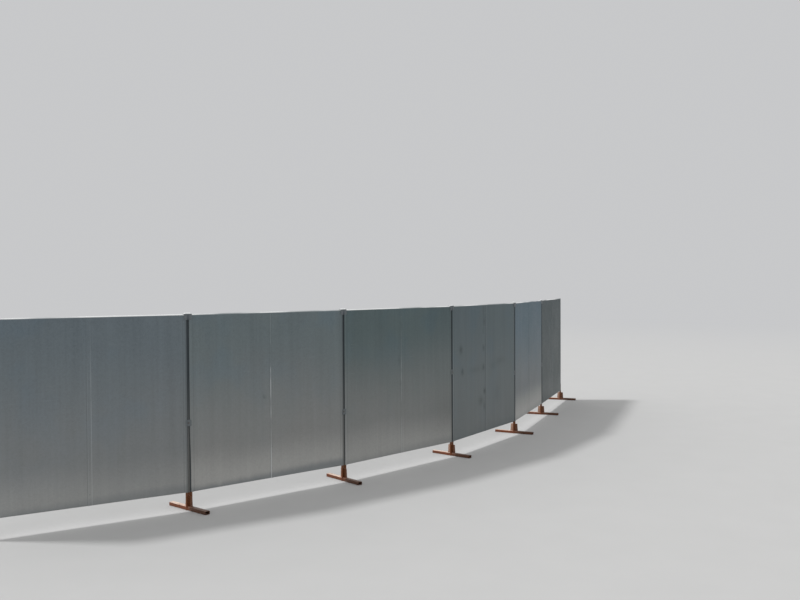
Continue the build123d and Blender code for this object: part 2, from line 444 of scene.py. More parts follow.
def build_sheet(bay, side):
    """One sheet of a bay: a strip rolled round the post, and a field rolled over the rails and lapped."""
    half = bay.width / 2
    shape = Shape()
    heights = np.linspace(bay.height - rail_roll, rail_roll, int(bay.height / sheet_cell))[1:-1]

    # Rolled strip, from the back of the post round its outer side to the front
    plan = turn(bay.roll, 0, bay.roll, 90, 270, 16)
    flat = np.stack([np.linspace(bay.roll, bay.strip_end, 4)[1:], np.full(3, -bay.roll)], axis=-1)
    plan = np.vstack([plan, flat])
    rows = np.concatenate([[bay.height, bay.height - rail_roll], heights, [rail_roll, 0]])[:, None]
    u = plan[:, 0] if side == "left" else bay.width - plan[:, 0]
    strip = bay.points(u, plan[:, 1], rows)
    shape.grid(strip, flip=side == "right", **sheet_values(bay, u, rows))

    # Field between the strip and the lap
    beads = [place + width * step for place, width, _ in side_beads for step in (-1, -0.5, 0, 0.5, 1)]
    stops = np.array([bay.strip_end] + beads)
    if side == "left":
        columns = np.concatenate([stops, np.linspace(stops[-1], half + lap_half, field_columns)[1:]])
        stand_off = np.zeros(len(columns))
    else:
        lap = half + np.array([-lap_half, -0.012, -0.008, -0.004, 0.004, 0.012, *joggle])
        stops = bay.width - stops[::-1]
        columns = np.concatenate([lap, np.linspace(lap[-1], stops[0], field_columns)[1:-1], stops])
        stand_off = sheet_step * np.clip((half + joggle[1] - columns) / (joggle[1] - joggle[0]), 0, 1)
        stand_off = stand_off + free_edge_lift * bump(columns - (half - lap_half + 0.005), 0.005)
    sections = []
    for column, out in zip(columns, stand_off):
        path, is_front = edge_path(bay, out, heights)
        belly = is_front * sheet_belly(bay, column, path[:, 1], 10 * bay.number + (side == "right"))
        sections.append(bay.points(column, path[:, 0] - belly, path[:, 1]))
    levels = edge_path(bay, 0, heights)[0][:, 1:]
    shape.grid(np.stack(sections, axis=1), **sheet_values(bay, columns, levels))
    name, material = f"bay_{bay.number}_{side}_sheet", sheet_materials[bay.number - 1]
    add_piece(
        f"{name}_metal", shape, material, stands_for=[name], thickness=sheet_thickness
    )


def build_rivets(bay):
    """Blind rivets down the lap and along the middle rail."""
    front = rail_depth - rail_roll
    places = [(bay.width / 2, height, front - sheet_step) for height in seam_rivet_heights]
    for place in rail_rivet_places:
        places += [(u, middle_rail_height, front) for u in (place, bay.width - place)]
    shape = Shape()
    for u, z, v in places:
        stations = [(v - rivet_radius * h, rivet_radius * r) for r, h in rivet_profile]
        add_crosswise(shape, bay, u, z, stations, 16)
    add_piece(f"bay_{bay.number}_rivets", shape, fitting_material, smooth_angle=50)


# Frames

def add_post(shape, bay, u):
    """Round tube, open below and closed on top by a slightly domed cap."""
    inner, top = post_radius - post_wall, bay.height
    stations = [(inner, top - 0.2), (inner, 0), (post_radius - 0.0004, 0), (post_radius, 0.0004)]
    stations += [(post_radius, height) for height in np.linspace(0, top, 9)[1:-1]]
    stations += [(post_radius, top - 0.001), (post_radius - 0.001, top)]
    stations += [(post_radius * 0.5, top + 0.0003), (0.0005, top + 0.0004)]
    add_upright(shape, bay, u, stations)


def add_rail(shape, bay, height):
    """Round rail between the posts."""
    angles = full_turn(28)
    stations = np.linspace(bay.post_places[0] + 0.008, bay.post_places[1] - 0.008, 14)[:, None]
    depths, heights = rail_depth + rail_radius * np.cos(angles), height + rail_radius * np.sin(angles)
    shape.grid(bay.points(stations, depths, heights), closed=True, flip=True)


def rounded_square(half_x, half_y, radius):
    """Outline of a rectangle with rounded corners, counter-clockwise."""
    corners = [(1, 1, 0), (-1, 1, 90), (-1, -1, 180), (1, -1, 270)]
    x, y = half_x - radius, half_y - radius
    return np.vstack([turn(i * x, j * y, radius, start, start + 90, 4) for i, j, start in corners])


def build_frame(bay):
    """Posts, rails and upright of a bay, with their weld beads."""
    shape = Shape()
    for u in bay.post_places:
        add_post(shape, bay, u)
    for height in bay.rail_heights:
        add_rail(shape, bay, height)
    square = rounded_square(mullion_half, mullion_half, mullion_corner)
    levels = np.linspace(bay.rail_heights[0], bay.rail_heights[2], 12)[:, None]
    middle = bay.width / 2
    shape.grid(bay.points(middle + square[:, 0], square[:, 1] + mullion_depth, levels), closed=True)

    # Beads where the rails meet the posts, and where the upright meets the rails
    around = np.radians(np.linspace(-100, 100, 40))
    v = rail_depth + rail_radius * np.cos(around)
    reach = np.sqrt(post_radius**2 - np.clip(v, -0.013, 0.013) ** 2)
    back = np.append(bay.back, 0)
    outward = np.cos(around)[:, None] * back + np.sin(around)[:, None] * upward
    for index, height in enumerate(bay.rail_heights):
        for end, (u, inward) in enumerate(zip(bay.post_places, (1, -1))):
            path = bay.points(u + inward * reach, v, height + rail_radius * np.sin(around))
            weld_bead(shape, path, outward, weld_radius, 100 * bay.number + 10 * index + end)
    line = np.linspace(-mullion_half, mullion_half, 16)
    depth = mullion_half + mullion_depth
    rise = sqrt(rail_radius**2 - (depth - rail_depth) ** 2)
    for index, (height, sign) in enumerate([(bay.rail_heights[0], 1), (bay.rail_heights[2], -1)]):
        path = bay.points(middle + line, depth - 0.0005, height + sign * (rise + 0.0005))
        weld_bead(shape, path, back, weld_radius, 700 + 10 * bay.number + index)
    name = f"bay_{bay.number}_tubes"
    add_piece(name, shape, tube_material, stands_for=[f"bay_{bay.number}_frame"])


# Fittings of a joint

def plate_width(path, half_width, corner):
    """Half width of a plate along its path, with rounded corners at both ends."""
    length = lengths_along(path)
    from_end = np.minimum(length, length[-1] - length)
    short = np.clip(corner - from_end, 0, corner)
    return half_width - corner + np.sqrt(np.maximum(corner**2 - short**2, 0.0))


def refine_ends(path, corner):
    """Adds points to the first and last stretch of a path, close together at the rounded corners."""

    def stretch(start, end):
        direction = (end - start) / np.linalg.norm(end - start)
        steps = corner * (1 - np.cos(np.linspace(0, pi / 2, 7)))
        return start + steps[:, None] * direction

    return np.vstack([stretch(path[0], path[1]), path[1:-1], stretch(path[-1], path[-2])[::-1]])


def build_saddle(joint):
    """Strap bent over the two post tops, with a rounded crown and a skirt on each side."""
    inner = joint.roll + plate_fit
    outer = inner + saddle_thickness
    spring = joint.top - sqrt(inner**2 - (joint.roll + plate_fit / 3) ** 2)
    arch = turn(0, spring, outer, 0, 180, 24)
    path = np.vstack([[(outer, spring - saddle_skirt)], arch, [(-outer, spring - saddle_skirt)]])
    path = refine_ends(path, saddle_corner)
    half = plate_width(path, saddle_length / 2, saddle_corner)
    across = np.linspace(-1, 1, 25) * half[:, None]
    height = path[:, 1:]
    points = joint.points(across, path[:, :1], height)
    # Darker band down the middle of each skirt, below the crown
    stain = bump(across, saddle_stain) * np.clip((spring + 0.004 - height) / 0.012, 0, 1)

    # Small dents all over the crown, and its ends pressed down
    dent = saddle_dent * ripples(across, height, 40 + joint.number, 0.09, 0.09)
    past_flat = np.clip((np.abs(across) - saddle_flat) / (saddle_length / 2 - saddle_flat), 0, 1)
    crown = np.maximum(height - spring, 0.0)
    points[..., 2] -= (np.abs(dent) + 0.5 * past_flat**1.5 * crown) * (height > spring)
    shape = Shape()
    shape.grid(points, flip=True, stain=stain)
    name = f"saddle_{joint.number}"
    add_piece(
        f"{name}_strap", shape, fitting_material, stands_for=[name],
        thickness=saddle_thickness, rounding=0.0009,
    )


def clamp_path(joint, side):
    """Plan of the outer side of a clamp half. Side is -1 at the front, 1 at the back."""
    grip = joint.roll + plate_fit + clamp_thickness
    web_turn = 90 - clamp_grip_angle
    web_x = joint.spread - (joint.roll + plate_fit) * cos(radians(web_turn))
    web_y = (joint.roll + plate_fit) * sin(radians(web_turn)) + clamp_thickness
    wing = turn(-joint.spread, 0, grip, 90, web_turn + 14, 9)
    web = [(-web_x + 0.005, web_y), (-0.004, web_y)]
    path = np.vstack([[(-joint.spread - clamp_flange, grip)], wing, web])
    path = np.vstack([path, (path * [-1, 1])[::-1]])
    return path * [1, side]


def build_clamp(joint, height, half_height, side):
    """Pressed half of a clamp: a wing round each rolled edge and a web in the gap."""
    path = refine_ends(clamp_path(joint, side), clamp_corner)
    half = plate_width(path, half_height, clamp_corner)
    across = np.linspace(-1, 1, 7) * half[:, None]
    shape = Shape()
    shape.grid(joint.points(path[:, :1], path[:, 1:], height + across), flip=side < 0)
    name = f"clamp_{joint.number}_" + ("front" if side < 0 else "back")
    add_piece(
        f"{name}_plate", shape, fitting_material, stands_for=[name],
        thickness=clamp_thickness, rounding=0.0008,
    )


def build_bolt(joint, height):
    """Hexagon bolt through the gap, with washers, a nut and the threaded end behind it."""
    web = (joint.roll + plate_fit) * sin(radians(90 - clamp_grip_angle)) + clamp_thickness
    shape = Shape()

    def add(stations, sides, twist=0.0):
        add_crosswise(shape, joint, 0, height, stations, sides, twist)

    hexagon = bolt_head_radius
    top, foot = -web - bolt_head_height, -web - 0.0012
    head = [(top, 0.0001), (top, hexagon * 0.82), (top + 0.0012, hexagon), (foot, hexagon), (foot, 0.0001)]
    add(head, 6, 0.3 * joint.number)
    washer = [(-0.0012, 0.0001), (-0.0012, 0.0098), (-0.0009, 0.0102), (0.0, 0.0102), (0.0, 0.0001)]
    add([(-web + v, r) for v, r in washer], 28)
    add([(web - v, r) for v, r in washer[::-1]], 28)
    nut = [(0.0012, 0.0001), (0.0012, hexagon), (nut_height - 0.001, hexagon)]
    nut += [(nut_height, hexagon * 0.84), (nut_height, 0.0001)]
    add([(web + v, r) for v, r in nut], 6, 0.5 * joint.number)
    end = web + nut_height + 0.006
    turns = np.linspace(web + nut_height - 0.001, end - 0.001, 41)
    thread = [(v, bolt_radius - 0.0004 * (index % 2)) for index, v in enumerate(turns)]
    add(thread + [(end, bolt_radius - 0.001), (end, 0.0001)], 20)
    add([(-web, bolt_radius * 0.9), (web, bolt_radius * 0.9)], 20)
    add_piece(f"clamp_{joint.number}_bolt", shape, bolt_material, smooth_angle=28)


# Feet

def build_foot(joint):
    """Welded foot: hollow ground bar, two stubs with spigots, the web between them and a gusset."""
    shape, bar = Shape(), joint.bar
    bar_half, bar_top = bar_size[0] / 2, bar_size[1]
    reach = joint.bar_length / 2

    # Hollow bar, a little uneven from use
    outer = rounded_square(bar_half, bar_top / 2, bar_corner)
    inner = rounded_square(bar_half - bar_wall, bar_top / 2 - bar_wall, bar_corner - bar_wall)
    depths = np.linspace(-reach, reach, 40)[:, None]
    for outline, flip in ((outer, False), (inner, True)):
        uneven = 0.0003 * ripples(depths, outline[:, 0], 60 + joint.number, 0.12, 0.1)
        x = outline[:, 0] - np.abs(uneven) * np.sign(outline[:, 0])
        shape.grid(bar.points(x, depths, bar_top / 2 + outline[:, 1]), closed=True, flip=flip)
    for end in (-reach, reach):
        rim = [bar.points(ring[:, 0], end, bar_top / 2 + ring[:, 1]) for ring in (outer, inner)]
        shape.grid(np.stack(rim), closed=True, flip=end > 0)

    # Stubs down to the floor, and spigots
    seat, tip = joint.seat, joint.spigot_top
    stations = [(0.0005, 0.0), (post_radius - 0.0005, 0.0), (post_radius, 0.0005), (post_radius, seat / 2)]
    stations += [(post_radius, seat - 0.0008), (post_radius - 0.0008, seat), (spigot_radius, seat)]
    stations += [(spigot_radius, (seat + tip) / 2), (spigot_radius, tip - 0.004)]
    stations += [(spigot_radius - 0.003, tip), (0.0005, tip)]
    for s in (-joint.spread, joint.spread):
        add_upright(shape, joint, s, stations)

    # Web and gusset
    web_top = bar_top + web_height
    half = plate_thickness / 2
    spread = joint.spread
    x, y = np.array([(-spread, -half), (spread, -half), (spread, half), (-spread, half)]).T
    levels = np.array([bar_top - 0.001, web_top])[:, None]
    shape.grid(joint.points(x, y, levels), closed=True)
    shape.fan(joint.points(x, y, web_top))
    foot, top = gusset_foot_width / 2, gusset_top_width / 2
    y = np.array([-foot, foot, top, -top])
    z = bar_top + np.array([-0.001, -0.001, gusset_height, gusset_height])
    sides = np.array([-half, half])[:, None]
    shape.grid(bar.points(sides, y, z), closed=True)
    shape.fan(bar.points(-half, y, z), flip=True)
    shape.fan(bar.points(half, y, z))
    shape.note_depth(joint)
    name = f"foot_{joint.number}"
    add_piece(
        f"{name}_steel", shape, paint_material, stands_for=[name],
        rounding=0.0007, round_from=50,
    )


def build_foot_welds(joint):
    """Painted weld beads of a foot: round both stubs, along the gusset and up the web."""
    shape, bar = Shape(), joint.bar
    bar_half, bar_top = bar_size[0] / 2, bar_size[1]
    half = plate_thickness / 2

    # Round the part of each stub that stands on the bar, then down the bar's sides
    angles = full_turn(72)
    lean = joint.along @ bar.along
    slant = joint.along @ bar.back
    drop = np.linspace(bar_top - 0.002, 0.004, 16)
    for index, s in enumerate((-joint.spread, joint.spread)):
        across = s * lean + post_radius * np.cos(angles)
        deep = s * slant + post_radius * np.sin(angles)
        ring = np.flatnonzero(np.abs(across) < bar_half)
        start = np.flatnonzero(np.diff(ring, prepend=ring[-1]) % len(angles) != 1)[0]
        ring = np.roll(ring, -start)
        path = bar.points(across[ring], deep[ring], bar_top + 0.0008)
        weld_bead(shape, path, upward, 0.003, 300 + 10 * joint.number + index)
        side = np.sign(s) * bar_half
        half_chord = sqrt(post_radius**2 - (side - s * lean) ** 2)
        facing = np.append(bar.along * np.sign(s), 0)
        for v in (-half_chord, half_chord):
            path = bar.points(side, s * slant + v, drop)
            weld_bead(shape, path, facing, 0.0022, 360 + 10 * joint.number + index)

    # Along the gusset and up the web
    reach = gusset_foot_width / 2 - 0.004
    line = np.linspace(-reach, reach, 90)
    for index, s in enumerate((-half, half)):
        path = bar.points(s, line, bar_top + 0.0008)
        weld_bead(shape, path, upward, 0.0028, 320 + 10 * joint.number + index)
    rise = np.linspace(bar_top, bar_top + web_height - 0.002, 50)
    edge = joint.spread - sqrt(post_radius**2 - half**2)
    for index, (s, v) in enumerate([(-edge, -1), (edge, -1), (-edge, 1), (edge, 1)]):
        path = joint.points(s, v * (half + 0.0004), rise)
        weld_bead(shape, path, np.append(joint.back * v, 0), 0.0026, 340 + 10 * joint.number + index)
    shape.note_depth(joint)
    add_piece(f"foot_{joint.number}_welds", shape, paint_material, smooth_angle=60)


# Materials

class Output:
    """Output of a node, to reckon with: each operator adds a node."""

    def __init__(self, nodes, socket):
        self.nodes = nodes
        self.socket = socket

    def __add__(self, other):
        return self.nodes.math("ADD", self, other)

    def __sub__(self, other):
        return self.nodes.math("SUBTRACT", self, other)

    def __rsub__(self, other):
        return self.nodes.math("SUBTRACT", other, self)

    def __mul__(self, other):
        return self.nodes.math("MULTIPLY", self, other)

    def __abs__(self):
        return self.nodes.math("ABSOLUTE", self, 0.0)

    def at_least(self, other):
        return self.nodes.math("MAXIMUM", self, other)

    def clamped(self):
        """Keeps this result between 0 and 1."""
        self.socket.node.use_clamp = True
        return self

    def ramp(self, low, high, to_low=0.0, to_high=1.0):
        """Smooth step from one level to another as the value goes from low to high."""
        inputs = {"Value": self, "From Min": low, "From Max": high, "To Min": to_low, "To Max": to_high}
        return self.nodes.node("ShaderNodeMapRange", "Result", inputs, interpolation_type="SMOOTHSTEP")


class Nodes:
    """A node tree under construction."""

    def __init__(self, tree):
        self.tree = tree

    def put(self, socket, value):
        """Sets an input to a number or colour, or links it to another node's output."""
        if isinstance(value, Output):
            self.tree.links.new(value.socket, socket)
        elif socket.type == "RGBA":
            socket.default_value = (*value, 1.0)
        else:
            socket.default_value = value

    def node(self, kind, output, inputs=None, **settings):
        """Adds a node and gives one of its outputs."""
        made = self.tree.nodes.new(kind)
        for key, value in settings.items():
            setattr(made, key, value)
        for key, value in (inputs or {}).items():
            self.put(made.inputs[key], value)
        return Output(self, made.outputs[output])

    def math(self, operation, a, b):
        return self.node("ShaderNodeMath", 0, {0: a, 1: b}, operation=operation)


class Finish(Nodes):
    """A material under construction, with short forms for its usual nodes."""

    def __init__(self, name, shift=0.0):
        self.material = bpy.data.materials.new(name)
        self.material.use_nodes = True
        super().__init__(self.material.node_tree)
        self.surface = self.tree.nodes["Principled BSDF"]
        self.shift = shift
        self.colour = None
        self.place = self.node("ShaderNodeTexCoord", "Object")
        self.height = self.node("ShaderNodeSeparateXYZ", "Z", {0: self.place})

    def scaled(self, stretch, further=0.0):
        """Object coordinates, or those stretched by three factors and shifted to vary from bay to bay."""
        if not stretch:
            return self.place
        shift = self.shift + further
        inputs = {"Vector": self.place, "Scale": stretch, "Location": (shift, 0.37 * shift, 0.61 * shift)}
        return self.node("ShaderNodeMapping", 0, inputs)

    def noise(self, scale, detail=3.0, roughness=0.5, stretch=None, further=0.0):
        inputs = {"Scale": scale, "Detail": detail, "Roughness": roughness}
        inputs["Vector"] = self.scaled(stretch, further)
        return self.node("ShaderNodeTexNoise", "Fac", inputs)

    def cells(self, scale, stretch=None):
        """Brightness of each crystal in a pattern of random cells."""
        inputs = {"Vector": self.scaled(stretch), "Scale": scale}
        colour = self.node("ShaderNodeTexVoronoi", "Color", inputs)
        return self.node("ShaderNodeSeparateColor", 0, {0: colour})

    def attribute(self, name):
        return self.node("ShaderNodeAttribute", "Fac", attribute_name=name)

    def facing(self, axis):
        """How far a surface faces along an axis, from -1 to 1."""
        return self.node("ShaderNodeSeparateXYZ", axis, {0: self.node("ShaderNodeNewGeometry", "Normal")})

    def edges(self, low, high):
        """0 on flat surfaces, 1 on outward edges."""
        return self.node("ShaderNodeNewGeometry", "Pointiness").ramp(low, high)

    def mix(self, factor, a, b):
        """Colour a where the factor is 0, b where it is 1."""
        return self.node("ShaderNodeMix", 2, {0: factor, 6: a, 7: b}, data_type="RGBA")

    def times(self, colour, factor):
        """Colour multiplied by a number."""
        return self.node("ShaderNodeVectorMath", 0, {0: colour, "Scale": factor}, operation="SCALE")

    def coat(self, factor, colour):
        """Lays a colour over the finish, as thickly as the factor says."""
        self.colour = self.mix(factor, self.colour, colour)

    def done(self, roughness, metallic, relief, depth):
        """Joins the surface up: relief is a height pattern, depth its size in metres."""
        normal = self.node("ShaderNodeBump", 0, {"Height": relief, "Distance": depth})
        values = {"Base Color": self.colour, "Roughness": roughness, "Metallic": metallic, "Normal": normal}
        for key, value in values.items():
            self.put(self.surface.inputs[key], value)
        return self.material


def tinted(colour, *factors):
    """A colour with its red, green and blue each multiplied."""
    return tuple(part * factor for part, factor in zip(colour, factors))


def galvanised_sheet(number, zinc_and_reflection_colour, dust_and_bounce, splash_and_bounce, foot_dark_band, edge_shine, bend_shine, grime_and_shade_high, grime_and_shade_low):
    """Weathered zinc sheet: crystals, upright rain streaks, dust and painted bounce light that thicken
    downwards, handling marks, painted shade and highlights at its edges.
    """
    finish = Finish(f"galvanised_sheet_{number}", shift=3.1 * number)
    height = finish.height
    seam, beside = finish.attribute("seam"), finish.attribute("edge")
    crystals = (finish.cells(48.0, (1, 1, 1)) + finish.cells(105.0)) * 0.5
    streaks = finish.noise(1.0, 4.0, 0.55, (9, 9, 0.35))
    fine_streaks = finish.noise(1.0, 3.0, 0.6, (38, 38, 0.8))
    clouds = finish.noise(1.0, 3.0, 0.55, (1.3, 1.3, 0.9))

    # Tone of the bare zinc
    tone = streaks * 0.22 + fine_streaks * 0.14 + crystals * 0.22 + clouds * 0.30 + 0.56
    cool = finish.mix(clouds, tinted(zinc_and_reflection_colour, 0.95, 0.98, 1.02), tinted(zinc_and_reflection_colour, 1.07, 1.04, 1.0))
    patches = finish.noise(1.0, 2.0, 0.5, (1.9, 1.9, 1.6), 5.0).ramp(0.50, 0.68, 0.0, 0.45)
    cool = finish.mix(patches, cool, tinted(zinc_and_reflection_colour, 0.87, 0.99, 1.09))

    # The bays differ in front, where their colours also paint each bay's shade and reflection; their backs
    # are all alike
    front = finish.facing("Y").ramp(0.15, -0.15)
    cool = finish.mix(front, finish.mix(clouds, (0.150, 0.166, 0.174), (0.178, 0.186, 0.187)), cool)
    finish.colour = finish.times(cool, tone)

    # Dust with painted bounce light, densest at the bottom, and the pale band where rain splashes up, which
    # also paints bounce light
    wander = clouds - 0.5
    film = tone * 0.7 + 0.3
    paler_low_down = ((height + wander * 0.7).ramp(2.1, 0.35) * front.ramp(0.0, 1.0, 0.5, dust_and_bounce)).clamped()
    finish.coat(paler_low_down, finish.times(dust_and_bounce_colour, film))
    splash_and_bounce_light = (height + wander * 0.22).ramp(0.74, 0.27) * front.ramp(0.0, 1.0, 0.2, splash_and_bounce)
    finish.coat(splash_and_bounce_light, finish.times(splash_and_bounce_colour, film))

    # Pale specks of white rust, and fine level scratches from stacking
    specks = finish.noise(190.0, 3.0, 0.65, (1, 1, 0.7)).ramp(0.66, 0.74, 0.0, 0.35)
    finish.coat(specks, (0.400, 0.410, 0.405))
    scored = finish.noise(1.0, 2.0, 0.6, (1.5, 1.5, 150)).ramp(0.69, 0.73)
    scored = scored * finish.noise(1.0, 3.0, 0.5, (2, 2, 2)).ramp(0.52, 0.64, 0.0, 0.4)
    finish.coat(scored, (0.340, 0.360, 0.370))

    # Darker band along the lower edge, higher towards the right
    climb = streaks * 0.05 - seam.ramp(-0.9, 1.0, 0.025, 0.075)
    finish.coat((height + climb).ramp(0.285, 0.195) * (0.8 * foot_dark_band) * front, (0.120, 0.147, 0.165))

    # Lap: a faint painted shadow line before its free edge, and painted highlights on that edge and on the
    # bend
    runs = finish.noise(1.0, 3.0, 0.6, (0.3, 0.3, 2.2))
    for place, reach, low, high, tint in (
        (0.0215, 0.005, 0.04, 0.22, painted_shade_zinc),
        (0.0125, 0.006, 0.10 * edge_shine, edge_shine, painted_highlight_zinc),
        (-0.0235, 0.006, 0.10 * bend_shine, bend_shine, painted_highlight_zinc),
    ):
        line = abs(seam + place).ramp(reach, 0.3 * reach)
        strength = runs.ramp(0.40, 0.60, low, high) * height.ramp(2.1, 1.4, 0.2, 1.0)
        finish.coat(line * strength.at_least(height.ramp(0.75, 0.45, 0.0, high)), tint)

    # Rolled side edges: a painted highlight on the left roll, painted shade on the right, and a painted
    # shade line where the roll ends
    left_side = seam.ramp(0.1, -0.1)
    painted_edge_highlight = beside.ramp(0.030, 0.020) * streaks.ramp(0.35, 0.65, 0.02, 0.20) * left_side
    finish.coat(painted_edge_highlight, (0.330, 0.360, 0.380))
    finish.coat(beside.ramp(0.034, 0.018, 0.0, 0.34) * (1.0 - left_side), painted_shade_zinc)
    finish.coat(abs(beside - 0.046).ramp(0.010, 0.003, 0.0, 0.16), painted_shade_zinc)

    # Painted shade of the gap, with grime, which reaches round the left roll as far as the bay's own figures
    # say
    grime_and_shade_reach = height.ramp(1.0, 0.4, grime_and_shade_high, grime_and_shade_low)
    left_roll_grime_and_shade = beside.ramp(grime_and_shade_reach, grime_and_shade_reach * 0.45, 0.0, 0.9)
    right_roll_grime_and_shade = beside.ramp(0.0085, 0.0030, 0.0, 0.9)
    gap_grime_and_shade = left_side.ramp(0.0, 1.0, right_roll_grime_and_shade, left_roll_grime_and_shade)
    finish.coat(gap_grime_and_shade, (0.026, 0.034, 0.039))

    # Handling marks, and a painted highlight along the upper edge, broken into stretches
    grubby = finish.noise(55.0).ramp(0.25, 0.7, 0.7, 1.15)
    finish.coat((finish.attribute("marks") * front * grubby).clamped(), (0.060, 0.075, 0.075))
    wear_and_highlight_breaks = finish.noise(1.0, 2.0, 0.5, (1.1, 1.1, 0.0)).ramp(0.38, 0.56, 0.35, 1.0)
    top_highlight = height.ramp(2.1865, 2.1925) * wear_and_highlight_breaks
    finish.coat(top_highlight, (0.84, 0.85, 0.85))

    roughness = crystals * 0.18 + clouds * 0.16 + paler_low_down * 0.18 + gap_grime_and_shade * 0.35 + 0.30
    dulled = (paler_low_down * 0.45).at_least(top_highlight * 0.6).at_least(gap_grime_and_shade * 0.75)
    relief = finish.noise(700.0, 2.0) * 0.5 + crystals * 0.5
    return finish.done(roughness, (0.7 - dulled).clamped(), relief, 0.00012)


def galvanised_tube():
    """Hot-dip galvanised tube: mottled crystals, faint drips and stains, and dust low down."""
    finish = Finish("galvanised_tube")
    crystals = finish.cells(120.0, (1, 1, 0.6))
    clouds = finish.noise(6.0, 4.0, 0.6)
    drips = finish.noise(1.0, 2.0, 0.5, (60, 60, 3))
    tone = crystals * 0.12 + clouds * 0.35 + drips * 0.15 + 0.62
    finish.colour = finish.times(finish.mix(clouds, (0.20, 0.222, 0.232), (0.225, 0.232, 0.228)), tone)
    paler_low_down = (finish.height + clouds * 0.4).ramp(1.2, 0.3)
    finish.coat(paler_low_down * 0.4, (0.24, 0.215, 0.18))
    stains = finish.noise(1.0, 5.0, 0.65, (25, 25, 9)).ramp(0.66, 0.76)
    finish.coat(stains * 0.5, (0.15, 0.085, 0.045))
    return finish.done(clouds * 0.25 + 0.32, 0.75, drips * 0.6 + finish.noise(500.0), 0.0002)


def shaded_gap_strip():
    """Flat strip deep in the gap, coloured dark as painted shade of the groove, with darker runs, paler
    towards its foot.
    """
    finish = Finish("shaded_gap_strip")
    clouds = finish.noise(1.0, 4.0, 0.6, (6, 6, 1.5))
    runs = finish.noise(1.0, 3.0, 0.6, (90, 90, 2))
    # Painted shade: the strip is coloured as dark as the groove looks
    finish.colour = finish.mix(clouds, (0.029, 0.040, 0.048), (0.046, 0.059, 0.066))
    finish.coat(runs.ramp(0.5, 0.75) * 0.5, (0.028, 0.033, 0.034))
    paler_low_down = (finish.height + (clouds - 0.5) * 0.5).ramp(1.7, 0.3, 0.0, 0.85)
    finish.coat(paler_low_down, (0.185, 0.185, 0.175))

    # Rust from the foot's web has crept up its lower end
    rusted = (finish.height + runs * 0.02).ramp(0.215, 0.203)
    finish.coat(rusted, finish.mix(runs, (0.120, 0.040, 0.010), (0.160, 0.052, 0.012)))
    return finish.done(runs * 0.2 + 0.6, 0.2, runs, 0.0003)


def zinc_fitting():
    """Zinc-plated pressings: dull, scuffed, with a painted highlight on their crowns."""
    finish = Finish("zinc_fitting")
    clouds = finish.noise(28.0, 4.0, 0.6)
    scuffs = finish.noise(1.0, 3.0, 0.7, (300, 60, 60))
    zinc = finish.mix(clouds, (0.150, 0.172, 0.184), (0.186, 0.200, 0.208))
    finish.colour = finish.times(zinc, clouds * 0.4 + 0.75)
    # Darker band down the middle of each skirt
    finish.coat(finish.attribute("stain") * 0.8, (0.040, 0.052, 0.064))
    # Painted highlight on the crown of each saddle
    top_highlight = finish.height.ramp(2.200, 2.209)
    finish.coat(top_highlight, (0.82, 0.83, 0.83))
    rubbed = finish.edges(0.52, 0.58) * scuffs.ramp(0.4, 0.6, 0.1, 0.6)
    finish.coat(rubbed, (0.36, 0.38, 0.39))
    stains = finish.noise(90.0, 4.0, 0.7).ramp(0.64, 0.74)
    finish.coat(stains * 0.55, (0.11, 0.06, 0.03))
    return finish.done(scuffs * 0.25 + 0.3, 0.75 - top_highlight * 0.7, scuffs, 0.0002)


def bolt_zinc():
    """Bolts: duller and browner than the pressings."""
    finish = Finish("bolt_zinc")
    clouds = finish.noise(160.0, 4.0, 0.6)
    finish.colour = finish.mix(clouds.ramp(0.4, 0.65), (0.16, 0.165, 0.17), (0.10, 0.062, 0.036))
    return finish.done(clouds * 0.3 + 0.35, 0.8, clouds, 0.0003)


def orange_paint():
    """Rust-orange paint, chipped to rust, scratched, with painted shadow on its front half and dust and
    painted sunlight on what faces up.
    """
    finish = Finish("orange_paint")
    rear = finish.attribute("rear")
    clouds = finish.noise(7.0, 5.0, 0.6)
    speckle = finish.noise(60.0, 5.0, 0.7)
    finish.colour = finish.mix(clouds, (0.215, 0.050, 0.010), (0.150, 0.038, 0.008))
    rusty = (speckle + clouds * 0.5).ramp(0.74, 0.88)
    finish.coat(rusty, finish.mix(speckle, (0.075, 0.030, 0.013), (0.150, 0.058, 0.022)))
    scratches = finish.noise(1.0, 2.0, 0.7, (14, 200, 90)).ramp(0.70, 0.74)
    finish.coat(scratches * 0.5, (0.26, 0.19, 0.15))
    # Painted shadow of the panels on the front half of the foot
    painted_front_shadow = (rear + clouds * 0.06).ramp(0.06, -0.06, 0.0, 0.65)
    finish.coat(painted_front_shadow, (0.055, 0.029, 0.015))
    aged = finish.height.ramp(0.045, 0.075) * speckle.ramp(0.3, 0.7, 0.45, 0.75)
    finish.coat(aged, (0.140, 0.040, 0.005))

    # Dust and painted sunlight on what faces up, most of all behind the panels, and painted sunlight on the
    # left faces of the rear of the gusset
    sunlit_left_faces = finish.facing("X").ramp(-0.5, -0.8) * rear.ramp(0.012, 0.024, 0.0, 0.5)
    finish.coat(sunlit_left_faces * finish.height.ramp(0.042, 0.060), (0.66, 0.45, 0.34))
    dust_and_sunlight = finish.facing("Z").ramp(0.5, 0.95) * clouds.ramp(0.25, 0.6, 0.55, 1.0)
    dust_and_sunlight = dust_and_sunlight * rear.ramp(-0.05, 0.06, 0.12, 1.0) * speckle.ramp(0.66, 0.48, 0.35, 1.0)
    finish.coat(dust_and_sunlight, finish.mix(clouds, (0.80, 0.60, 0.49), (0.88, 0.72, 0.61)))
    wear_and_highlight_breaks = finish.edges(0.53, 0.60) * speckle.ramp(0.42, 0.60, 0.0, 0.7)
    finish.coat(wear_and_highlight_breaks, (0.150, 0.085, 0.055))
    roughness = rusty.at_least(dust_and_sunlight) * 0.35 + 0.42
    return finish.done(roughness, 0.0, rusty * -0.6 + speckle * 0.6, 0.0006)


# Stage

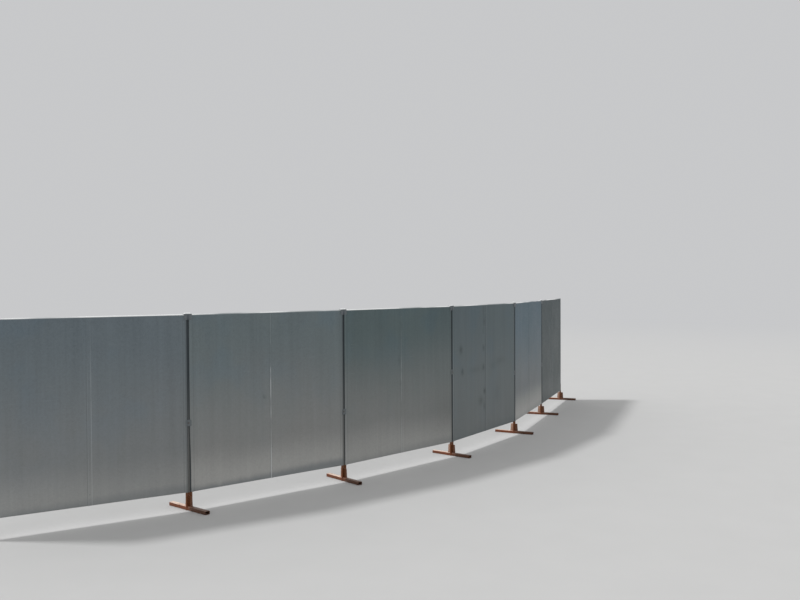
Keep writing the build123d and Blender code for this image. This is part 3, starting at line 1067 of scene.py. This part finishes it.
backdrop_colour = (0.575, 0.58, 0.59)
sky_light = 0.78
sun_strength = 1.8
sun_travel = Vector((0.35, -0.50, -0.85))
floor_radius = 70.0
floor_sides = 64
floor_fade = (10.0, 45.0)


def build_world():
    """Even soft light, seen by the camera and by reflections as the pale backdrop."""
    world = bpy.data.worlds.new("studio")
    bpy.context.scene.world = world
    world.use_nodes = True
    world.node_tree.nodes.clear()
    nodes = Nodes(world.node_tree)
    seen = nodes.node("ShaderNodeLightPath", "Is Camera Ray")
    for kind in ("Is Glossy Ray", "Is Transmission Ray"):
        seen = seen.at_least(nodes.node("ShaderNodeLightPath", kind))
    light = nodes.node("ShaderNodeBackground", 0, {"Color": (1.0, 1.0, 1.0), "Strength": sky_light})
    backdrop = nodes.node("ShaderNodeBackground", 0, {"Color": backdrop_colour})
    blend = nodes.node("ShaderNodeMixShader", 0, {0: seen, 1: light, 2: backdrop})
    output = world.node_tree.nodes.new("ShaderNodeOutputWorld")
    nodes.put(output.inputs["Surface"], blend)


def build_sun():
    """Soft key light from behind the run, high and to the left."""
    lamp = bpy.data.lights.new("key", "SUN")
    lamp.energy = sun_strength
    lamp.angle = radians(7)
    key = add_object("key", lamp)
    key.rotation_mode = "QUATERNION"
    key.rotation_quaternion = sun_travel.to_track_quat("-Z", "Y")


def build_floor(centre):
    """Pale floor that takes the shadow and fades into the backdrop far from the part."""
    angles = full_turn(floor_sides)
    x, y = centre.x + floor_radius * np.cos(angles), centre.y + floor_radius * np.sin(angles)
    ring = np.stack([x, y, np.zeros(floor_sides)], axis=-1)
    mesh = bpy.data.meshes.new("floor")
    mesh.from_pydata(ring.tolist(), [], [tuple(range(floor_sides))])
    floor = add_object("floor", mesh)
    finish = Finish("floor")
    mottle = finish.noise(1.6, 4.0, 0.55)
    colour = finish.mix(mottle, (0.475, 0.475, 0.472), (0.505, 0.505, 0.502))
    finish.put(finish.surface.inputs["Base Color"], colour)
    finish.put(finish.surface.inputs["Roughness"], 0.9)
    ends = {0: finish.place, 1: (centre.x, centre.y, 0)}
    offset = finish.node("ShaderNodeVectorMath", "Value", ends, operation="DISTANCE")
    shaders = {
        0: offset.ramp(*floor_fade),
        1: Output(finish, finish.surface.outputs["BSDF"]),
        2: finish.node("ShaderNodeEmission", "Emission", {"Color": backdrop_colour}),
    }
    blend = finish.node("ShaderNodeMixShader", "Shader", shaders)
    finish.put(finish.tree.nodes["Material Output"].inputs["Surface"], blend)
    mesh.materials.append(finish.material)


# Camera, fitted to the bays' edges in the photograph
camera_place = Vector((-3.685, -8.284, 2.522))
camera_heading = 38.433
camera_pitch = 1.10
camera_roll = 0.28
focal_pixels = 816.4
picture_width = 800


def build_camera():
    """Camera that sees the run as the photograph does."""
    data = bpy.data.cameras.new("camera")
    data.sensor_width = 36.0
    data.lens = focal_pixels / picture_width * data.sensor_width
    data.clip_start = 0.1
    data.clip_end = 400.0
    camera = add_object("camera", data)
    heading, pitch = radians(camera_heading), radians(camera_pitch)
    ahead = Vector((cos(heading) * cos(pitch), sin(heading) * cos(pitch), -sin(pitch)))
    aim = ahead.to_track_quat("-Z", "Y").to_matrix().to_4x4()
    roll = Matrix.Rotation(radians(-camera_roll), 4, "Z")
    camera.matrix_world = Matrix.Translation(camera_place) @ aim @ roll
    bpy.context.scene.camera = camera


# Put everything together

bay_count = sum(name.endswith("_frame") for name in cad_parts)
bays = [Bay(number + 1) for number in range(bay_count)]
joints = [Joint(number, bays[0]) for number in range(bay_count + 1)]

sheet_materials = [galvanised_sheet(number + 1, *weather) for number, weather in enumerate(bay_weather)]
tube_material = galvanised_tube()
strip_material = shaded_gap_strip()
fitting_material = zinc_fitting()
bolt_material = bolt_zinc()
paint_material = orange_paint()

for bay in bays:
    for side in ("left", "right"):
        build_sheet(bay, side)
    build_rivets(bay)
    build_frame(bay)
for joint in joints:
    build_foot(joint)
    build_foot_welds(joint)
for joint in joints[1:-1]:
    build_saddle(joint)
    low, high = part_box(f"clamp_{joint.number}_front")
    clamp_middle, clamp_half = (low.z + high.z) / 2, (high.z - low.z) / 2
    for side in (-1, 1):
        build_clamp(joint, clamp_middle, clamp_half, side)
    build_bolt(joint, clamp_middle)
    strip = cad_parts[f"joint_strip_{joint.number}"]
    strip.data.materials.clear()
    strip.data.materials.append(strip_material)

build_world()
build_sun()
build_floor((cad_box[0] + cad_box[1]) / 2)
build_camera()
bpy.context.scene.view_settings.view_transform = "Standard"
